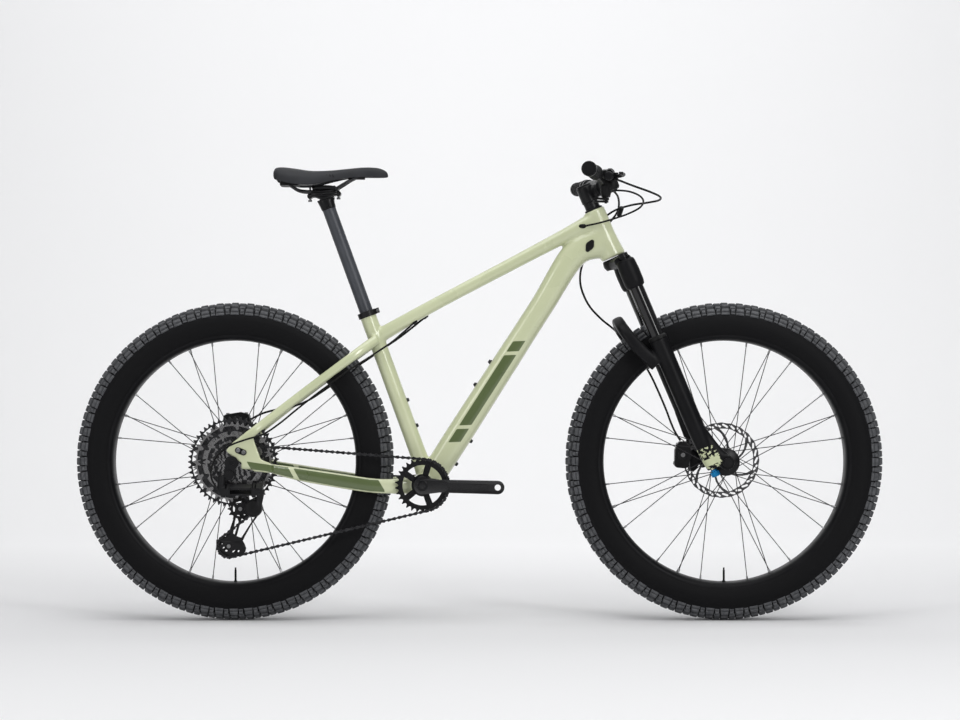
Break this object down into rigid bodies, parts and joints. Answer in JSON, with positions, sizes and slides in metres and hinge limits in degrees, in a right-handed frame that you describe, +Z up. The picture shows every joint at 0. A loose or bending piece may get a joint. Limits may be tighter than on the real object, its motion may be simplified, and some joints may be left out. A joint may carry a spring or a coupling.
{
  "type": "fat tire bicycle",
  "caption": "Hardtail mountain bicycle with very wide knobbly tyres, a suspension fork, disc brakes, a flat bar and a single chainring with a wide-range cassette.",
  "frame": {"origin": "on the ground under the middle of the bounding box, in the bicycle's mid plane", "axes": "+X forward, +Y to the rider's left, +Z up"},
  "size_m": [1.8988, 0.77, 1.0684],
  "materials": {
    "frame_paint": "pale sage green lacquer over moulded carbon, dark olive on the rear of the chainstays",
    "black_alloy": "satin black anodised",
    "black_paint": "satin black paint",
    "black_plastic": "matte black",
    "steel": "brushed",
    "dark_steel": "black oxide",
    "tyre_rubber": "moulded black rubber",
    "grip_rubber": "ribbed black rubber",
    "saddle_cover": "smooth black synthetic cover over foam",
    "hose": "black outer hose",
    "blue_alloy": "blue anodised",
    "stanchion_coat": "polished black coat",
    "carbon_rim": "satin black rim"
  },
  "bodies": {
    "frame": {"head_tube": "frame_paint", "top_tube": "frame_paint", "down_tube": "frame_paint", "seat_tube": "frame_paint", "chainstay_right": "frame_paint", "chainstay_left": "frame_paint", "seatstay_right": "frame_paint", "seatstay_left": "frame_paint", "derailleur_hanger": "black_alloy", "frame_fittings": "black_plastic", "frame_bearings": "black_alloy", "rear_axle": "black_alloy", "rear_caliper": "black_alloy", "seat_collar": "black_alloy", "chain": "dark_steel", "derailleur_knuckle": "black_alloy", "rear_brake_hose": "hose", "shift_cable": "hose"},
    "seat": {"seatpost": "black_alloy", "saddle_mount": "black_alloy", "saddle_shell": "black_plastic", "saddle_pad": "saddle_cover"},
    "fork_upper": {"fork_crown": "black_paint", "stanchions": "stanchion_coat", "headset_spacers": "black_alloy", "stem": "black_alloy", "handlebar": "black_alloy", "grips": "grip_rubber", "brake_lever_bodies": "black_alloy", "shifter_body": "black_plastic", "front_brake_hose": "hose"},
    "brake_lever_right": {"brake_lever_right": "black_alloy"},
    "brake_lever_left": {"brake_lever_left": "black_alloy"},
    "shift_paddle_main": {"shift_paddle_main": "black_plastic"},
    "shift_paddle_release": {"shift_paddle_release": "black_plastic"},
    "compression_knob": {"compression_knob": "blue_alloy"},
    "fork_lower": {"fork_lowers": "black_paint", "front_axle": "black_alloy", "front_caliper": "black_alloy"},
    "rebound_knob": {"rebound_knob": "blue_alloy"},
    "front_wheel": {"front_tyre": "tyre_rubber", "front_rim": "carbon_rim", "front_spokes": "dark_steel", "front_hub": "black_alloy", "front_rotor": "steel"},
    "rear_wheel": {"rear_tyre": "tyre_rubber", "rear_rim": "carbon_rim", "rear_spokes": "dark_steel", "rear_hub": "black_alloy", "rear_rotor": "steel"},
    "cassette": {"cassette": "steel"},
    "crank": {"crank_right": "black_alloy", "crank_left": "black_alloy", "chainring": "black_alloy"},
    "derailleur_outer_link": {"derailleur_outer_link": "black_alloy"},
    "derailleur_inner_link": {"derailleur_inner_link": "black_alloy"},
    "derailleur_body": {"derailleur_body": "black_alloy"},
    "derailleur_cage": {"derailleur_cage": "black_alloy"},
    "guide_pulley": {"guide_pulley": "black_plastic"},
    "tension_pulley": {"tension_pulley": "black_plastic"}
  },
  "joints": [
    {"name": "steering", "type": "hinge", "parent": "frame", "child": "fork_upper", "pos_m": [0.26922, 0, 0.96571], "axis": [-0.3907, 0, 0.9205], "range_deg": [-55, 55], "deforming": ["rear_brake_hose", "shift_cable", "front_brake_hose"]},
    {"name": "fork_slide", "type": "slide", "parent": "fork_upper", "child": "fork_lower", "axis": [-0.3907, 0, 0.9205], "range_m": [0, 0.1], "stiffness_N_per_m": 6500, "springref_m": -0.02, "deforming": ["front_brake_hose"]},
    {"name": "front_wheel_spin", "type": "hinge", "parent": "fork_lower", "child": "front_wheel", "pos_m": [0.576, 0, 0.3735], "axis": [0, 1, 0], "continuous": true},
    {"name": "rear_wheel_spin", "type": "hinge", "parent": "frame", "child": "rear_wheel", "pos_m": [-0.576, 0, 0.3735], "axis": [0, 1, 0], "continuous": true},
    {"name": "crank_spin", "type": "hinge", "parent": "frame", "child": "crank", "pos_m": [-0.13302, 0, 0.32], "axis": [0, 1, 0], "continuous": true, "deforming": ["chain"]},
    {"name": "cassette_spin", "type": "hinge", "parent": "frame", "child": "cassette", "pos_m": [-0.576, 0, 0.3735], "axis": [0, 1, 0], "continuous": true},
    {"name": "derailleur_shift", "type": "hinge", "parent": "frame", "child": "derailleur_outer_link", "pos_m": [-0.583, -0.124, 0.318], "axis": [0, 0.829, 0.5592], "range_deg": [-31, 39], "deforming": ["chain"]},
    {"name": "derailleur_inner_swing", "type": "hinge", "parent": "frame", "child": "derailleur_inner_link", "pos_m": [-0.583, -0.11449, 0.30391], "axis": [0, 0.829, 0.5592], "range_deg": [-31, 39]},
    {"name": "derailleur_body_swing", "type": "hinge", "parent": "derailleur_outer_link", "child": "derailleur_body", "pos_m": [-0.523, -0.124, 0.318], "axis": [0, 0.829, 0.5592], "range_deg": [-39, 31]},
    {"name": "derailleur_cage_swing", "type": "hinge", "parent": "derailleur_body", "child": "derailleur_cage", "pos_m": [-0.5255, -0.097, 0.2675], "axis": [0, 1, 0], "range_deg": [-45, 6], "stiffness_Nm_per_rad": 2, "springref_deg": 22.92, "deforming": ["chain"]},
    {"name": "guide_pulley_spin", "type": "hinge", "parent": "derailleur_cage", "child": "guide_pulley", "pos_m": [-0.55799, -0.07475, 0.26491], "axis": [0, 1, 0], "continuous": true},
    {"name": "tension_pulley_spin", "type": "hinge", "parent": "derailleur_cage", "child": "tension_pulley", "pos_m": [-0.58482, -0.07475, 0.17795], "axis": [0, 1, 0], "continuous": true},
    {"name": "brake_lever_right_pull", "type": "hinge", "parent": "fork_upper", "child": "brake_lever_right", "pos_m": [0.30836, -0.24683, 1.029], "axis": [-0.0008, -0.0051, -1], "range_deg": [0, 20], "stiffness_Nm_per_rad": 1.5, "springref_deg": -17.19},
    {"name": "brake_lever_left_pull", "type": "hinge", "parent": "fork_upper", "child": "brake_lever_left", "pos_m": [0.30836, 0.24683, 1.029], "axis": [0.0008, -0.0051, 1], "range_deg": [0, 20], "stiffness_Nm_per_rad": 1.5, "springref_deg": -17.19},
    {"name": "shift_paddle_push", "type": "hinge", "parent": "fork_upper", "child": "shift_paddle_main", "pos_m": [0.28833, -0.20709, 0.98281], "axis": [0.0008, 0.0051, 1], "range_deg": [0, 25], "stiffness_Nm_per_rad": 0.6, "springref_deg": -11.46},
    {"name": "shift_release_push", "type": "hinge", "parent": "fork_upper", "child": "shift_paddle_release", "pos_m": [0.28833, -0.20712, 0.97701], "axis": [0.0008, 0.0051, 1], "range_deg": [0, 15], "stiffness_Nm_per_rad": 0.6, "springref_deg": -11.46},
    {"name": "compression_dial", "type": "hinge", "parent": "fork_upper", "child": "compression_knob", "pos_m": [0.33318, -0.084, 0.85598], "axis": [-0.3907, 0, 0.9205], "range_deg": [0, 90]},
    {"name": "rebound_dial", "type": "hinge", "parent": "fork_lower", "child": "rebound_knob", "pos_m": [0.54495, -0.084, 0.35706], "axis": [-0.3907, 0, 0.9205], "range_deg": [0, 270]},
    {"name": "seatpost_height", "type": "slide", "parent": "frame", "child": "seat", "axis": [-0.342, 0, 0.9397], "range_m": [-0.2, 0.04]}
  ],
  "couplings": [
    {"joint": "cassette_spin", "follows": "crank_spin", "ratio": 1.4286},
    {"joint": "guide_pulley_spin", "follows": "crank_spin", "ratio": -2.3077},
    {"joint": "tension_pulley_spin", "follows": "crank_spin", "ratio": 2.3077},
    {"joint": "derailleur_inner_swing", "follows": "derailleur_shift", "ratio": 1},
    {"joint": "derailleur_body_swing", "follows": "derailleur_shift", "ratio": -1}
  ]
}
